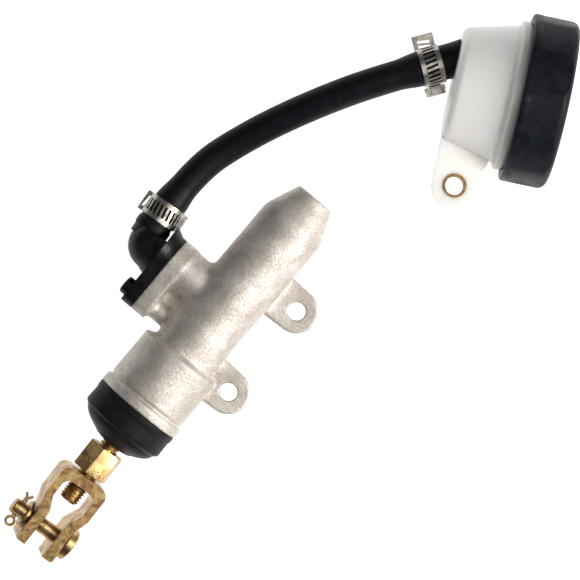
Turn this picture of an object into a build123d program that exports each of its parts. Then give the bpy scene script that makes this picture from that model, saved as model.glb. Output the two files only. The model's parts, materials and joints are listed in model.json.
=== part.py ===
"""Rear brake master cylinder with a remote fluid reservoir, lying flat.

The frame: +Y runs along the bore to the outlet, +X from the bore to the two mounting lugs and
+Z up from the bench. The origin is midway between the two bolt holes, on the lugs' rear face.
All sizes are in millimetres.
"""

from build123d import *
import os
from math import cos, radians, sin, tan

os.makedirs("parts", exist_ok=True)

# ---- Driving dimensions: casting -------------------------------------------------------------
BORE_X = -22.0  # the bore's axis, left of the bolt holes
BORE_Z = 13.0  # the bore's axis above the lugs' rear face
BORE_R = 7.0
BORE_END = 37.0  # station of the bore's blind end
BARREL_R = 13.1
NOSE_R = 7.7
NOSE_START = 43.9
OUTLET_Y = 57.0  # the outlet face
OUTLET_R = 4.46  # wall of the M10 x 1 tapped hole
OUTLET_DEPTH = 14.0
SHOULDER_Y = -20.0
SLEEVE_R = 16.6
GROOVE_Y = -41.0
RING_Y = -42.4
RING_R = 17.5
RING_END = -46.1
SPIGOT_R = 14.2
SPIGOT_END = -55.0
MOUTH_R = 11.0  # counterbore that holds the stop washer
MOUTH_Y = -36.6

# ---- Driving dimensions: lugs and inlet --------------------------------------------------------
BOLT_SPACING = 40.0
BOLT_R = 3.5
LUG_R = 8.5
LUG_THICK = 8.0
INLET_Y = 4.5
INLET_R = 8.7
FLANGE_NEAR = -42.4
FLANGE_FACE = -48.6
FLANGE_R = 9.2
FLANGE_SMALL_R = 5.5
SCREW_Y = -13.5
CHAMBER_R = 6.0
CHAMBER_FLOOR = -33.0

# ---- Driving dimensions: push rod, clevis and pin ---------------------------------------------
BALL_Y = -33.0  # centre of the push rod's ball
BALL_R = 4.6
ROD_TILT = 2.0  # degrees, how far the rod leans towards the lugs
CLEVIS_ROLL = 14.0  # degrees, how far the clevis is rolled about the rod
ROD_R = 4.0
NUT_START = -32.3  # stations on the rod are counted from the ball's centre
NUT_LENGTH = 11.4
NUT_FLATS = 13.0
CLEVIS_START = -45.0
ROD_END = -56.7
CLEVIS_END = -78.7
CLEVIS_DEPTH = 14.0
PIN_STATION = -70.0
PIN_R = 3.0
FORK_GAP = 8.2
SPLIT_STATION = -12.6  # where the split pin goes through the clevis pin
NUT_ROLL = 8.0  # degrees, how the nut happens to be turned

# ---- Driving dimensions: hose, clamps and reservoir -------------------------------------------
HOSE_R = 5.65
HOSE_BORE_R = 3.15
NIPPLE_R = 3.0
HOSE_ROUTE = [
    (-61.6, 8.2, 13.0),
    (-64.1, 34.1, 13.0),
    (-56.5, 58.9, 15.5),
    (-44.9, 83.3, 23.5),
    (-31.2, 106.4, 31.5),
    (-17.2, 126.4, 31.5),
]
BAND_R = 6.6
BAND_THICK = 0.6
BAND_WIDTH = 8.0
TANK_X = -10.7  # middle of the tank's floor, outside
TANK_Y = 121.9
TANK_Z = 27.0
TANK_TURN = 28.2  # degrees from +X to the tank's axis
TANK_FLOOR_R = 21.2
TANK_TOP_R = 26.0
TANK_DEPTH = 21.0
TANK_WALL = 2.2
NECK_R = 27.0
NECK_END = 35.0
COLLAR_R = 28.0
CAP_R = 31.5
CAP_START = 24.4
CAP_END = 42.7
CAP_FACETS = 12
TAB_HOLE_S = 8.6  # along the tank's axis
TAB_HOLE_B = 37.1  # to the side of the tank's axis
TAB_R = 8.5
TAB_THICK = 6.0
BUSH_R = 4.4
BUSH_BORE_R = 3.4

# ---- Driving dimensions: lugs, ports and flange details --------------------------------------
LUG_RIM = 0.8
NUB_END = 37.6
SUPPLY_PORT_Y = 0.5
SUPPLY_PORT_R = 1.2
RELIEF_PORT_Y = 9.5
RELIEF_PORT_R = 0.4
ELBOW_SCREW_R = 2.0
ELBOW_HEAD_R = 3.5
ELBOW_HEAD = 2.8
CIRCLIP_START = -44.5
CIRCLIP_END = -43.0
CIRCLIP_R = 12.0

# ---- Driving dimensions: inlet elbow, seal and screw -----------------------------------------
ELBOW_FACE = -53.5
DOME_X = -57.0
DOME_R = 9.8
ELBOW_SPIGOT_R = 5.75
ELBOW_SPIGOT_END = 42.0
SEAL_STATION = 45.3
SEAL_R = 0.85
SEAL_GROOVE_R = 4.2
ELBOW_WAY_R = 2.9
NIPPLE_WAY_R = 1.8
NIPPLE_LENGTH = 13.0

# ---- Driving dimensions: boot ----------------------------------------------------------------
BOOT_CORNER = -56.6
BOOT_END = -63.0
BOOT_MOUTH_R = 5.9

# ---- Driving dimensions: piston, cups and return spring --------------------------------------
CUP_START = 4.0
CUP_END = 8.6
LAND_START = 1.9
REAR_LAND = -24.0
PISTON_END = -36.0
SEAL_NEAR = -27.2
SEAL_FAR = -31.0
WAIST_R = 4.4
SEAL_SEAT_R = 5.2
SPRING_COILS = 6
SPRING_WIRE_R = 0.65
SPRING_R = 4.4

# ---- Driving dimensions: push rod's flange and waist -----------------------------------------
ROD_FLANGE_R = 6.0
ROD_WAIST_R = 3.2
ROD_WAIST_END = -27.0
ROD_FLANGE_NEAR = -5.2
ROD_FLANGE_FAR = -7.4

# ---- Driving dimensions: fork, pin and split pin ---------------------------------------------
CLEVIS_HALF = 10.0
CHAMBER_HALF = 7.0
NECK_Y = -59.5
ARM_THICK = 4.5
PIN_PLAY = 0.06  # radial clearance of the clevis pin in the fork
BRIDGE = 4.4
PIN_LEFT = -15.5
PIN_HEAD = 3.0
PIN_HEAD_R = 6.3
SPLIT_R = 0.95
EYE_R = 2.1
SPLIT_TIP = 4.6

# ---- Driving dimensions: worm clamps ---------------------------------------------------------
WORM_R = 2.4
WORM_FROM = -5.0
WORM_TO = 4.4
HOUSING_R = 2.85
HEAD_FLATS = 7.0
HEAD_LENGTH = 3.4
SLOT_COUNT = 24

# ---- Driving dimensions: reservoir details ---------------------------------------------------
ROOT_LENGTH = 9.0
COLLAR_END = 24.0
PLATE_END = 39.2
CAP_FLATS_R = 30.7
BEAD_END = 27.4

# ---- Axes and planes worked out from the driving dimensions -----------------------------------
BORE_PLANE = Plane(origin=(BORE_X, 0, BORE_Z), x_dir=(1, 0, 0), z_dir=(0, 0, 1))
BORE_AXIS = Axis((BORE_X, 0, BORE_Z), (0, 1, 0))

ROD_PLANE = Plane(
    origin=(BORE_X, BALL_Y, BORE_Z),
    x_dir=(cos(radians(ROD_TILT)), sin(radians(ROD_TILT)), 0),
    z_dir=(0, 0, 1),
)
CLEVIS_PLANE = Plane(
    origin=ROD_PLANE.origin,
    x_dir=ROD_PLANE.x_dir * cos(radians(CLEVIS_ROLL)) - ROD_PLANE.z_dir * sin(radians(CLEVIS_ROLL)),
    z_dir=ROD_PLANE.x_dir * sin(radians(CLEVIS_ROLL)) + ROD_PLANE.z_dir * cos(radians(CLEVIS_ROLL)),
)
ROD_AXIS = Axis(ROD_PLANE.origin, ROD_PLANE.y_dir)
PIN_ORIGIN = CLEVIS_PLANE.from_local_coords((0, PIN_STATION, 0))
PIN_PLANE = Plane(origin=PIN_ORIGIN, x_dir=CLEVIS_PLANE.y_dir, z_dir=CLEVIS_PLANE.x_dir)
PIN_AXIS = Axis(PIN_ORIGIN, CLEVIS_PLANE.x_dir)
SPLIT_ORIGIN = CLEVIS_PLANE.from_local_coords((SPLIT_STATION, PIN_STATION, 0))

TANK_DIR = Vector(cos(radians(TANK_TURN)), sin(radians(TANK_TURN)), 0)
TANK_ORIGIN = Vector(TANK_X, TANK_Y, TANK_Z)
TANK_PLANE = Plane(origin=TANK_ORIGIN, x_dir=TANK_DIR, z_dir=(0, 0, 1))
TANK_AXIS = Axis(TANK_ORIGIN, TANK_DIR)
TANK_ACROSS = Plane(origin=TANK_ORIGIN, x_dir=(0, 0, 1), z_dir=TANK_DIR)
TAB_HOLE = TANK_PLANE.from_local_coords((TAB_HOLE_S, -TAB_HOLE_B, 0))

LOWER_DIR = (Vector(*HOSE_ROUTE[1]) - Vector(*HOSE_ROUTE[0])).normalized()
UPPER_DIR = (Vector(*HOSE_ROUTE[-1]) - Vector(*HOSE_ROUTE[-2])).normalized()
HOSE_START = Vector(*HOSE_ROUTE[0])
HOSE_END = Vector(*HOSE_ROUTE[-1])


def turn(plane, axis, *outline, mode=Mode.ADD):
    """Turn a closed outline of (radius, station) points about an axis, in the open part."""
    with BuildSketch(plane) as section:
        with BuildLine():
            Polyline(*outline, close=True)
        make_face()
    revolve(section.sketch, axis=axis, mode=mode)


def turn_bore(*outline, mode=Mode.ADD):
    """Turn an outline about the bore's axis."""
    turn(BORE_PLANE, BORE_AXIS, *outline, mode=mode)


def turn_rod(*outline, mode=Mode.ADD):
    """Turn an outline about the push rod's axis, with stations from the ball's centre."""
    turn(ROD_PLANE, ROD_AXIS, *outline, mode=mode)


def turn_tank(*outline, mode=Mode.ADD):
    """Turn an outline of (station, radius) points about the tank's axis."""
    turn(TANK_PLANE, TANK_AXIS, *outline, mode=mode)


def bar(plane, radius, start, end, mode=Mode.ADD):
    """A round bar, or with Mode.SUBTRACT a hole, along a plane's normal between two stations."""
    with BuildSketch(plane.offset(start)) as section:
        Circle(radius)
    extrude(section.sketch, amount=end - start, mode=mode)


def save(part, name):
    """Label a finished piece and write its file."""
    part.label = name
    export_step(part, "parts/" + name + ".step")


# ==== Casting ====================================================================================
def side_plane(station):
    """A plane at a station of the bore, whose normal is -X, out towards the inlet."""
    return Plane(origin=(0, station, BORE_Z), x_dir=(0, 1, 0), z_dir=(-1, 0, 0))


INLET_PLANE = side_plane(INLET_Y)
SCREW_PLANE = side_plane(SCREW_Y)
# A section through the inlet's axis: x is the radius and y the distance out along -X.
INLET_SECTION = Plane(origin=(0, INLET_Y, BORE_Z), x_dir=(0, 1, 0), z_dir=(0, 0, 1))
INLET_AXIS = Axis((0, INLET_Y, BORE_Z), (-1, 0, 0))
FLANGE_REACH = INLET_Y - SCREW_Y


def flange_plate(start, end):
    """The flange's egg-shaped plate: the hull of a large and a small circle, extruded."""
    with BuildSketch(INLET_PLANE.offset(start)) as outline:
        with BuildLine():
            CenterArc((0, 0), FLANGE_R, 0, 360)
            CenterArc((-FLANGE_REACH, 0), FLANGE_SMALL_R, 0, 360)
        make_hull()
    extrude(outline.sketch, amount=end - start)

with BuildPart() as lug:
    with BuildSketch() as lug_outline:
        with BuildLine():
            CenterArc((0, 0), LUG_R, 0, 360)
            Line((BORE_X + 7, -LUG_R - 0.6), (BORE_X + 7, LUG_R + 0.6))
        make_hull()
    extrude(amount=LUG_THICK)
    fillet(lug.edges().group_by(Axis.Z)[-1], radius=LUG_RIM)

with BuildPart() as cylinder_body:
    turn_bore(
        (0, OUTLET_Y),
        (NOSE_R, OUTLET_Y),
        (BARREL_R, NOSE_START),
        (BARREL_R, SHOULDER_Y),
        (SLEEVE_R, SHOULDER_Y - 1.2),
        (SLEEVE_R, GROOVE_Y + 0.3),
        (SLEEVE_R - 0.7, GROOVE_Y),
        (SLEEVE_R - 0.7, RING_Y + 0.4),
        (RING_R, RING_Y),
        (RING_R, RING_END),
        (0, RING_END),
    )
    nose_edges = cylinder_body.edges().filter_by(GeomType.CIRCLE).group_by(Axis.Y)
    fillet(nose_edges[-1], radius=0.8)
    nose_edges = cylinder_body.edges().filter_by(GeomType.CIRCLE)
    fillet(nose_edges.filter_by_position(Axis.Y, NOSE_START - 0.1, NOSE_START + 0.1), radius=9)
    sleeve_edges = cylinder_body.edges().filter_by(GeomType.CIRCLE)
    sleeve_edges = sleeve_edges.filter_by_position(Axis.Y, SHOULDER_Y - 1.3, SHOULDER_Y - 1.1)
    fillet(sleeve_edges, radius=0.8)
    ring_edges = cylinder_body.edges().filter_by(GeomType.CIRCLE)
    fillet(ring_edges.filter_by_position(Axis.Y, RING_Y - 0.1, RING_Y + 0.1), radius=0.5)
    with GridLocations(0, BOLT_SPACING, 1, 2):
        add(lug.part)
    bar(INLET_PLANE, INLET_R, -BORE_X, -FLANGE_NEAR + 1)
    flange_plate(-FLANGE_NEAR, -FLANGE_FACE)
    with BuildSketch(SCREW_PLANE.offset(NUB_END)) as nub_tip:
        Circle(2.6)
    with BuildSketch(SCREW_PLANE.offset(-FLANGE_NEAR + 1)) as nub_root:
        Circle(4.6)
    loft([nub_tip.sketch.face(), nub_root.sketch.face()])
    turn_bore(
        (0, RING_END + 1),
        (SPIGOT_R, RING_END + 1),
        (SPIGOT_R, SPIGOT_END + 1),
        (SPIGOT_R - 1, SPIGOT_END),
        (0, SPIGOT_END),
    )
    turn_bore(
        (0, SPIGOT_END - 1),
        (MOUTH_R, SPIGOT_END - 1),
        (MOUTH_R, CIRCLIP_START),
        (CIRCLIP_R, CIRCLIP_START),
        (CIRCLIP_R, CIRCLIP_END),
        (MOUTH_R, CIRCLIP_END),
        (MOUTH_R, MOUTH_Y),
        (BORE_R, MOUTH_Y + 1.5),
        (BORE_R, BORE_END),
        (2.2, BORE_END + 2.8),
        (2.2, OUTLET_Y - OUTLET_DEPTH - 2.6),
        (OUTLET_R, OUTLET_Y - OUTLET_DEPTH),
        (OUTLET_R, OUTLET_Y - 0.7),
        (OUTLET_R + 0.7, OUTLET_Y),
        (OUTLET_R + 0.7, OUTLET_Y + 1),
        (0, OUTLET_Y + 1),
        mode=Mode.SUBTRACT,
    )
    bar(INLET_PLANE, CHAMBER_R, -CHAMBER_FLOOR, -FLANGE_FACE + 1, mode=Mode.SUBTRACT)
    for port_y, port_r in ((SUPPLY_PORT_Y, SUPPLY_PORT_R), (RELIEF_PORT_Y, RELIEF_PORT_R)):
        bar(side_plane(port_y), port_r, -BORE_X, -CHAMBER_FLOOR + 1, mode=Mode.SUBTRACT)
    bar(SCREW_PLANE, ELBOW_SCREW_R, NUB_END + 2, -FLANGE_FACE + 1, mode=Mode.SUBTRACT)
    with Locations(Plane.XY.offset(LUG_THICK)):
        with GridLocations(0, BOLT_SPACING, 1, 2):
            Hole(BOLT_R, depth=LUG_THICK + 1)
save(cylinder_body.part, "cylinder_body")


# ==== Inlet elbow, its seal and screw ===========================================================
LOWER_PLANE = Plane(origin=HOSE_START, x_dir=(LOWER_DIR.Y, -LOWER_DIR.X, 0), z_dir=LOWER_DIR)


def barbed_nipple(plane, start):
    """A hose nipple along a plane's normal, from a root station to its tip, with three barbs."""
    barb_root = NIPPLE_R - 0.25
    outline = [(0, start), (barb_root, start)]
    for station in (2.5, 6.0, 9.5):
        outline += [(NIPPLE_R, station), (barb_root, station + 2.5)]
    outline += [(barb_root, NIPPLE_LENGTH), (0, NIPPLE_LENGTH)]
    section = Plane(origin=plane.origin, x_dir=plane.x_dir, z_dir=-plane.y_dir)
    turn(section, Axis(plane.origin, plane.z_dir), *outline)

with BuildPart() as inlet_elbow:
    flange_plate(-FLANGE_FACE, -ELBOW_FACE)
    with BuildSketch(INLET_SECTION):
        with BuildLine():
            Line((0, 1 - ELBOW_FACE), (0, 0.5 - FLANGE_FACE))
            Line((0, 0.5 - FLANGE_FACE), (FLANGE_R - 0.6, 0.5 - FLANGE_FACE))
            Line((FLANGE_R - 0.6, 0.5 - FLANGE_FACE), (DOME_R + 1.1, -ELBOW_FACE))
            Line((DOME_R + 1.1, -ELBOW_FACE), (DOME_R, -DOME_X))
            CenterArc((0, -DOME_X), DOME_R, 0, 90)
            Line((0, DOME_R - DOME_X), (0, 1 - ELBOW_FACE))
        make_face()
    revolve(axis=INLET_AXIS)
    # The dome is cut square where the hose's end and its clamp stand beside it.
    with BuildSketch(LOWER_PLANE.offset(-0.3)):
        with Locations((-3.0, 0)):
            Rectangle(22.0, 26.0)
    extrude(amount=20, mode=Mode.SUBTRACT)
    bar(LOWER_PLANE, HOSE_R + 0.9, -4.0, -0.3)
    barbed_nipple(LOWER_PLANE, -1.0)
    bar(INLET_PLANE, ELBOW_SPIGOT_R, ELBOW_SPIGOT_END, -FLANGE_FACE)
    with BuildSketch(INLET_PLANE.offset(SEAL_STATION - SEAL_R - 0.1)) as seal_groove:
        Circle(ELBOW_SPIGOT_R + 1)
        Circle(SEAL_GROOVE_R, mode=Mode.SUBTRACT)
    extrude(seal_groove.sketch, amount=2 * SEAL_R + 0.2, mode=Mode.SUBTRACT)
    bar(INLET_PLANE, ELBOW_WAY_R, ELBOW_SPIGOT_END - 1, -HOSE_ROUTE[0][0] + 1, mode=Mode.SUBTRACT)
    bar(LOWER_PLANE, NIPPLE_WAY_R, INLET_Y - HOSE_ROUTE[0][1], NIPPLE_LENGTH + 1, mode=Mode.SUBTRACT)
    bar(SCREW_PLANE, ELBOW_SCREW_R + 0.3, -FLANGE_FACE - 1, -ELBOW_FACE + 1, mode=Mode.SUBTRACT)
save(inlet_elbow.part, "inlet_elbow")

with BuildPart() as inlet_seal:
    with BuildSketch(BORE_PLANE) as seal_section:
        with Locations((-SEAL_STATION - BORE_X, INLET_Y + SEAL_GROOVE_R + SEAL_R + 0.05)):
            Circle(SEAL_R)
    revolve(seal_section.sketch, axis=Axis((0, INLET_Y, BORE_Z), (1, 0, 0)))
save(inlet_seal.part, "inlet_seal")

with BuildPart() as elbow_screw:
    bar(SCREW_PLANE, ELBOW_SCREW_R - 0.03, NUB_END + 3, -ELBOW_FACE + 0.5)
    bar(SCREW_PLANE, ELBOW_HEAD_R, -ELBOW_FACE, -ELBOW_FACE + ELBOW_HEAD)
    fillet(elbow_screw.edges().group_by(Axis.X)[0], radius=1.1)
    with BuildSketch(SCREW_PLANE.offset(-ELBOW_FACE + ELBOW_HEAD)) as screw_cross:
        Rectangle(4.2, 1.0)
        Rectangle(1.0, 4.2)
    extrude(screw_cross.sketch, amount=-1.6, mode=Mode.SUBTRACT)
save(elbow_screw.part, "elbow_screw")

# ==== Boot, stop washer and circlip =============================================================
LEAN = (BALL_Y - BOOT_END) * tan(radians(ROD_TILT))


def ring_plane(station):
    """A plane at a station of the bore, centred on its axis, whose normal is +Y."""
    return Plane(origin=(BORE_X, station, BORE_Z), x_dir=(1, 0, 0), z_dir=(0, 1, 0))

with BuildPart() as boot:
    turn_bore(
        (0, RING_END),
        (RING_R, RING_END),
        (RING_R, BOOT_CORNER + 1.5),
        (RING_R - 0.45, BOOT_CORNER + 0.4),
        (RING_R - 1.5, BOOT_CORNER),
        (0, BOOT_CORNER),
    )
    with BuildSketch(ring_plane(BOOT_CORNER)) as boot_wide:
        Circle(RING_R - 1.5)
    with BuildSketch(ring_plane(BOOT_END)) as boot_narrow:
        with Locations((LEAN, 0)):
            Circle(BOOT_MOUTH_R)
    loft([boot_wide.sketch.face(), boot_narrow.sketch.face()])
    turn_bore(
        (0, RING_END + 1),
        (SPIGOT_R, RING_END + 1),
        (SPIGOT_R, SPIGOT_END - 0.2),
        (0, SPIGOT_END - 0.2),
        mode=Mode.SUBTRACT,
    )
    with BuildSketch(ring_plane(SPIGOT_END)) as hollow_wide:
        Circle(SPIGOT_R - 0.6)
    with BuildSketch(ring_plane(BOOT_END + 1.4)) as hollow_narrow:
        with Locations((LEAN, 0)):
            Circle(ROD_R + 0.35)
    loft([hollow_wide.sketch.face(), hollow_narrow.sketch.face()], mode=Mode.SUBTRACT)
    with BuildSketch(ring_plane(BOOT_END - 1)) as mouth_hole:
        with Locations((LEAN, 0)):
            Circle(ROD_R + 0.35)
    extrude(mouth_hole.sketch, amount=3, mode=Mode.SUBTRACT)
save(boot.part, "boot")

with BuildPart() as stop_washer:
    bar(ring_plane(-43.0), MOUTH_R - 0.1, 0, 1.8)
    bar(ring_plane(-43.0), ROD_R + 1.4, -1, 3, mode=Mode.SUBTRACT)
save(stop_washer.part, "stop_washer")

with BuildPart() as circlip:
    bar(ring_plane(CIRCLIP_START + 0.15), CIRCLIP_R - 0.1, 0, 1.2)
    bar(ring_plane(CIRCLIP_START), MOUTH_R - 1.6, -1, 3, mode=Mode.SUBTRACT)
    with BuildSketch(ring_plane(CIRCLIP_START)) as circlip_gap:
        with Locations((CIRCLIP_R - 1, 0)):
            Rectangle(7, 4.5)
    extrude(circlip_gap.sketch, amount=2, mode=Mode.SUBTRACT)
save(circlip.part, "circlip")

# ==== Piston, cups and return spring ============================================================
PISTON_R = BORE_R - 0.04

with BuildPart() as piston:
    turn_bore(
        (0, CUP_END - 0.4),
        (2.6, CUP_END - 0.4),
        (2.6, CUP_START),
        (PISTON_R, CUP_START),
        (PISTON_R, LAND_START),
        (WAIST_R, LAND_START - 1),
        (WAIST_R, REAR_LAND + 1),
        (PISTON_R, REAR_LAND),
        (PISTON_R, SEAL_NEAR),
        (SEAL_SEAT_R, SEAL_NEAR),
        (SEAL_SEAT_R, SEAL_FAR),
        (PISTON_R, SEAL_FAR),
        (PISTON_R, PISTON_END + 0.5),
        (PISTON_R - 0.5, PISTON_END),
        (0, PISTON_END),
    )
    with Locations((BORE_X, BALL_Y, BORE_Z)):
        Sphere(BALL_R + 0.06, mode=Mode.SUBTRACT)
    bar(ring_plane(PISTON_END - 1), BALL_R + 0.06, 0, BALL_Y - PISTON_END + 1, mode=Mode.SUBTRACT)
save(piston.part, "piston")

with BuildPart() as primary_cup:
    turn_bore(
        (2.65, CUP_START + 0.02),
        (PISTON_R, CUP_START + 0.02),
        (PISTON_R, CUP_END),
        (PISTON_R - 1.0, CUP_END),
        (PISTON_R - 1.9, CUP_START + 2),
        (2.65, CUP_START + 2),
    )
save(primary_cup.part, "primary_cup")

with BuildPart() as secondary_cup:
    turn_bore(
        (SEAL_SEAT_R + 0.02, SEAL_FAR + 0.05),
        (PISTON_R, SEAL_FAR + 0.05),
        (PISTON_R, SEAL_NEAR - 0.3),
        (PISTON_R - 0.7, SEAL_NEAR - 0.3),
        (PISTON_R - 1.1, SEAL_FAR + 1.5),
        (SEAL_SEAT_R + 0.02, SEAL_FAR + 1.5),
    )
save(secondary_cup.part, "secondary_cup")

with BuildPart() as spring_seat:
    turn_bore(
        (0, CUP_END - 0.35),
        (2.4, CUP_END - 0.35),
        (2.4, CUP_END + 0.1),
        (5.6, CUP_END + 0.1),
        (5.6, CUP_END + 1.0),
        (3.4, CUP_END + 1.0),
        (3.0, CUP_END + 3.2),
        (0, CUP_END + 3.2),
    )
save(spring_seat.part, "spring_seat")

SPRING_START = CUP_END + 1.05 + SPRING_WIRE_R
SPRING_LENGTH = BORE_END - 0.1 - SPRING_WIRE_R - SPRING_START
with BuildPart() as return_spring:
    with BuildLine() as spring_line:
        Helix(
            SPRING_LENGTH / SPRING_COILS,
            SPRING_LENGTH,
            SPRING_R,
            center=(BORE_X, SPRING_START, BORE_Z),
            direction=(0, 1, 0),
        )
    with BuildSketch(Plane(origin=spring_line.line @ 0, z_dir=spring_line.line % 0)):
        Circle(SPRING_WIRE_R)
    sweep(is_frenet=True)
save(return_spring.part, "return_spring")

# ==== Push rod and lock nut =====================================================================

with BuildPart() as push_rod:
    with BuildSketch(ROD_PLANE):
        with BuildLine():
            CenterArc((0, 0), BALL_R, -90, 180)
            Line((0, BALL_R), (0, -BALL_R))
        make_face()
    revolve(axis=ROD_AXIS)
    turn_rod(
        (0, -1),
        (ROD_WAIST_R, -1),
        (ROD_WAIST_R, ROD_FLANGE_NEAR),
        (ROD_FLANGE_R, ROD_FLANGE_NEAR),
        (ROD_FLANGE_R, ROD_FLANGE_FAR),
        (ROD_WAIST_R, ROD_FLANGE_FAR),
        (ROD_WAIST_R, ROD_WAIST_END),
        (ROD_R, ROD_WAIST_END - 1),
        (ROD_R, ROD_END + 0.8),
        (ROD_R - 0.8, ROD_END),
        (0, ROD_END),
    )
save(push_rod.part, "push_rod")

NUT_PLANE = Plane(origin=ROD_PLANE.origin, x_dir=ROD_PLANE.z_dir, z_dir=-ROD_PLANE.y_dir)
with BuildPart() as lock_nut:
    with BuildSketch(NUT_PLANE.offset(-NUT_START)):
        RegularPolygon(radius=NUT_FLATS / 2, side_count=6, major_radius=False, rotation=NUT_ROLL)
    extrude(amount=NUT_LENGTH)
    turn_rod(
        (NUT_FLATS / 2 + 0.1, NUT_START + 0.1),
        (NUT_FLATS, NUT_START + 0.1),
        (NUT_FLATS, NUT_START - 2.3),
        mode=Mode.SUBTRACT,
    )
    bar(NUT_PLANE, ROD_R + 0.03, 20, 60, mode=Mode.SUBTRACT)
save(lock_nut.part, "lock_nut")

# ==== Clevis, pin, washer and split pin =========================================================

with BuildPart() as clevis:
    with BuildSketch(CLEVIS_PLANE):
        with BuildLine():
            FilletPolyline(
                (-CLEVIS_HALF, CLEVIS_START),
                (CLEVIS_HALF, CLEVIS_START),
                (CLEVIS_HALF, NECK_Y + 1),
                (FORK_GAP / 2 + ARM_THICK - 0.6, NECK_Y - 5),
                (FORK_GAP / 2 + ARM_THICK, CLEVIS_END),
                (-FORK_GAP / 2 - ARM_THICK, CLEVIS_END),
                (-FORK_GAP / 2 - ARM_THICK + 0.6, NECK_Y - 5),
                (-CLEVIS_HALF, NECK_Y + 1),
                radius=(3.5, 3.5, 3.0, 3.0, 1.2, 1.2, 3.0, 3.0),
                close=True,
            )
        make_face()
        with BuildLine():
            FilletPolyline(
                (-CHAMBER_HALF, CLEVIS_START - BRIDGE),
                (CHAMBER_HALF, CLEVIS_START - BRIDGE),
                (CHAMBER_HALF, NECK_Y + 2),
                (FORK_GAP / 2, NECK_Y - 4),
                (FORK_GAP / 2, CLEVIS_END - 3),
                (-FORK_GAP / 2, CLEVIS_END - 3),
                (-FORK_GAP / 2, NECK_Y - 4),
                (-CHAMBER_HALF, NECK_Y + 2),
                radius=(3.0, 3.0, 3.0, 2.0, 0, 0, 2.0, 3.0),
                close=True,
            )
        make_face(mode=Mode.SUBTRACT)
    extrude(amount=CLEVIS_DEPTH / 2, both=True)
    bar(NUT_PLANE, ROD_R + 0.12, 40, 52, mode=Mode.SUBTRACT)
    bar(PIN_PLANE, PIN_R + PIN_PLAY, -CLEVIS_HALF - 1, CLEVIS_HALF + 1, mode=Mode.SUBTRACT)
save(clevis.part, "clevis")

PIN_HEAD_START = FORK_GAP / 2 + ARM_THICK + 0.3
WASHER_START = -FORK_GAP / 2 - ARM_THICK - 1.5

with BuildPart() as clevis_pin:
    bar(PIN_PLANE, PIN_R, PIN_LEFT, PIN_HEAD_START + 1)
    chamfer(clevis_pin.faces().sort_by(PIN_AXIS)[0].edges(), length=0.5)
    bar(PIN_PLANE, PIN_HEAD_R, PIN_HEAD_START, PIN_HEAD_START + PIN_HEAD)
    fillet(clevis_pin.faces().sort_by(PIN_AXIS)[-1].edges(), radius=0.8)
    with BuildSketch(Plane(origin=SPLIT_ORIGIN, x_dir=CLEVIS_PLANE.x_dir, z_dir=CLEVIS_PLANE.y_dir)):
        Circle(SPLIT_R + 0.25)
    extrude(amount=PIN_R + 1, both=True, mode=Mode.SUBTRACT)
save(clevis_pin.part, "clevis_pin")

with BuildPart() as pin_washer:
    bar(PIN_PLANE, 5.5, WASHER_START, WASHER_START + 1.2)
    bar(PIN_PLANE, PIN_R + 0.15, WASHER_START - 1, WASHER_START + 3, mode=Mode.SUBTRACT)
save(pin_washer.part, "pin_washer")

# The split pin's round legs run through the pin, with an eye at one end and bent tips at the other.
SPLIT_PLANE = Plane(origin=SPLIT_ORIGIN, x_dir=CLEVIS_PLANE.x_dir, z_dir=CLEVIS_PLANE.z_dir)

with BuildPart() as split_pin:
    with BuildSketch(SPLIT_PLANE) as split_outline:
        with Locations((0, -PIN_R - EYE_R - 0.6)):
            Circle(EYE_R)
        with Locations((0, -PIN_R / 2)):
            Rectangle(2 * SPLIT_R, PIN_R + SPLIT_R + 3)
        with Locations((0, PIN_R)):
            Rectangle(2 * SPLIT_R, PIN_R)
        with Locations((0, SPLIT_TIP)):
            with Locations(Location((0, 0, 0), (0, 0, 35)), Location((0, 0, 0), (0, 0, -35))):
                Rectangle(SPLIT_R, 2.6, align=(Align.CENTER, Align.MIN))
        with Locations((0, -PIN_R - EYE_R - 0.6)):
            Circle(EYE_R - SPLIT_R, mode=Mode.SUBTRACT)
    extrude(amount=SPLIT_R * 0.6, both=True)
save(split_pin.part, "split_pin")

# ==== Hose and its two worm clamps ==============================================================
# Each bend's arc takes 0.45 of the shorter of its two runs.
HOSE_POINTS = [Vector(*point) for point in HOSE_ROUTE]
HOSE_RADII = []
for before, corner, after in zip(HOSE_POINTS, HOSE_POINTS[1:], HOSE_POINTS[2:]):
    half_turn = radians((corner - before).get_angle(after - corner)) / 2
    shorter = min((corner - before).length, (after - corner).length)
    HOSE_RADII.append(0.45 * shorter / tan(half_turn))
print("hose bend radii", [round(radius, 1) for radius in HOSE_RADII])

with BuildPart() as hose:
    with BuildLine() as hose_line:
        FilletPolyline(*HOSE_POINTS, radius=HOSE_RADII)
    with BuildSketch(Plane(origin=HOSE_START, z_dir=LOWER_DIR)):
        Circle(HOSE_R)
        Circle(HOSE_BORE_R, mode=Mode.SUBTRACT)
    sweep()
print("hose length", round(hose_line.wire().length, 1), "volume", round(hose.part.volume))
save(hose.part, "hose")

UPPER_PLANE = Plane(origin=HOSE_END, x_dir=(UPPER_DIR.Y, -UPPER_DIR.X, 0), z_dir=UPPER_DIR)
LOWER_CLAMP = LOWER_PLANE.offset(8.0)
UPPER_CLAMP = UPPER_PLANE.offset(-6.2)
SCREW_DROP = BAND_R + BAND_THICK + 2.9  # from the hose's axis down to the worm screw's axis


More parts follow.
